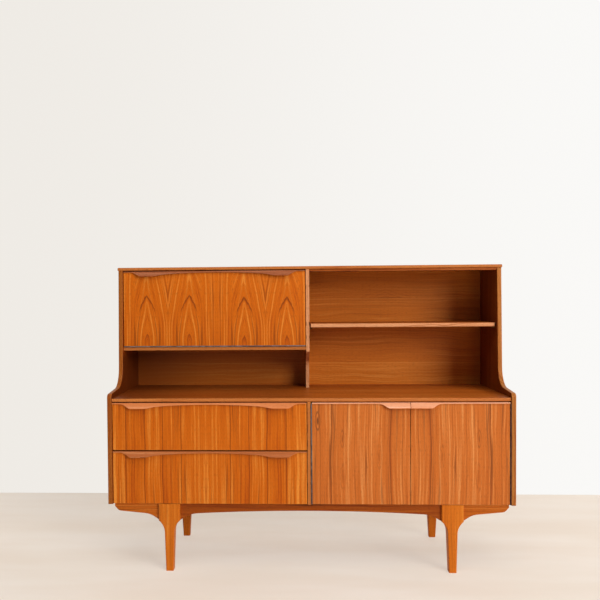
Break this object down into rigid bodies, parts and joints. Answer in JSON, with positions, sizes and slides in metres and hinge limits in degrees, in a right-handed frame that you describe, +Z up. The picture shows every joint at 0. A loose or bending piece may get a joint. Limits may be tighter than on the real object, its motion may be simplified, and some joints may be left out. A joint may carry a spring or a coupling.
{
  "type": "hutch",
  "caption": "Low teak-veneered cabinet on sculpted legs with drawers and hinged doors, and a set-back hutch with a drop flap, a niche and an open shelf bay.",
  "frame": {"origin": "on the floor, in the middle of the overall box", "axes": "+X towards the right-hand end seen from the front, +Y from front to back, +Z up"},
  "size_m": [1.375, 0.445, 1.04],
  "materials": {
    "front_veneer": "satin teak veneer",
    "solid_teak": "satin solid teak",
    "case_veneer": "satin teak veneer",
    "back_veneer": "satin teak veneer on thin board",
    "frame_wood": "plain stained hardwood",
    "drawer_wood": "plain pale hardwood and thin board",
    "steel": "plain steel",
    "catch_plastic": "dark brown moulded case"
  },
  "bodies": {
    "carcass": {"left_side": "case_veneer", "right_side": "case_veneer", "top_panel": "case_veneer", "top_front_rail": "solid_teak", "worktop": "case_veneer", "bottom_panel": "case_veneer", "lower_divider": "case_veneer", "upper_divider": "case_veneer", "flap_box_floor": "case_veneer", "upper_back_panel": "back_veneer", "lower_back_panel": "back_veneer", "display_shelf": "case_veneer", "cupboard_shelf": "case_veneer", "shelf_pegs": "steel", "drawer_runners": "frame_wood", "magnetic_catches": "catch_plastic", "left_door_frame_leaf": "steel", "right_door_frame_leaf": "steel", "flap_frame_leaf": "steel", "left_door_hinge_pin": "steel", "right_door_hinge_pin": "steel", "flap_hinge_pin": "steel", "stay_plate": "steel", "front_left_leg": "solid_teak", "front_right_leg": "solid_teak", "rear_left_leg": "solid_teak", "rear_right_leg": "solid_teak", "front_rail": "solid_teak", "left_wing_rail": "solid_teak", "right_wing_rail": "solid_teak", "rear_rail": "frame_wood", "left_cross_rail": "frame_wood", "right_cross_rail": "frame_wood"},
    "flap": {"flap_panel": "front_veneer", "flap_pull": "solid_teak", "flap_leaf": "steel", "flap_strike": "steel", "stay_bracket": "steel"},
    "stay_rod": {"stay_rod": "steel"},
    "stay_guide": {"stay_guide": "steel"},
    "left_door": {"left_door_panel": "front_veneer", "left_door_pull": "solid_teak", "left_door_leaf": "steel", "left_door_strike": "steel"},
    "right_door": {"right_door_panel": "front_veneer", "right_door_pull": "solid_teak", "right_door_leaf": "steel", "right_door_strike": "steel"},
    "upper_drawer": {"upper_drawer_front": "front_veneer", "upper_drawer_pull": "solid_teak", "upper_drawer_left_side": "drawer_wood", "upper_drawer_right_side": "drawer_wood", "upper_drawer_back": "drawer_wood", "upper_drawer_bottom": "drawer_wood"},
    "lower_drawer": {"lower_drawer_front": "front_veneer", "lower_drawer_pull": "solid_teak", "lower_drawer_left_side": "drawer_wood", "lower_drawer_right_side": "drawer_wood", "lower_drawer_back": "drawer_wood", "lower_drawer_bottom": "drawer_wood"}
  },
  "joints": [
    {"name": "flap_hinge", "type": "hinge", "parent": "carcass", "child": "flap", "pos_m": [-0.338, -0.0265, 0.754], "axis": [1, 0, 0], "range_deg": [0, 90]},
    {"name": "stay_rod_pivot", "type": "hinge", "parent": "flap", "child": "stay_rod", "pos_m": [-0.655, 0.0055, 0.85924], "axis": [1, 0, 0], "range_deg": [-45, 0]},
    {"name": "stay_guide_pivot", "type": "hinge", "parent": "carcass", "child": "stay_guide", "pos_m": [-0.655, 0.03957, 0.84195], "axis": [1, 0, 0], "range_deg": [0, 45]},
    {"name": "left_door_hinge", "type": "hinge", "parent": "carcass", "child": "left_door", "pos_m": [0.007, -0.2095, 0.4025], "axis": [0, 0, -1], "range_deg": [0, 90]},
    {"name": "right_door_hinge", "type": "hinge", "parent": "carcass", "child": "right_door", "pos_m": [0.667, -0.2095, 0.4025], "axis": [0, 0, 1], "range_deg": [0, 110]},
    {"name": "upper_drawer_slide", "type": "slide", "parent": "carcass", "child": "upper_drawer", "axis": [0, -1, 0], "range_m": [0, 0.3]},
    {"name": "lower_drawer_slide", "type": "slide", "parent": "carcass", "child": "lower_drawer", "axis": [0, -1, 0], "range_m": [0, 0.3]}
  ],
  "couplings": [
    {"joint": "stay_rod_pivot", "follows": "flap_hinge", "ratio": -0.5},
    {"joint": "stay_guide_pivot", "follows": "flap_hinge", "ratio": 0.5}
  ]
}
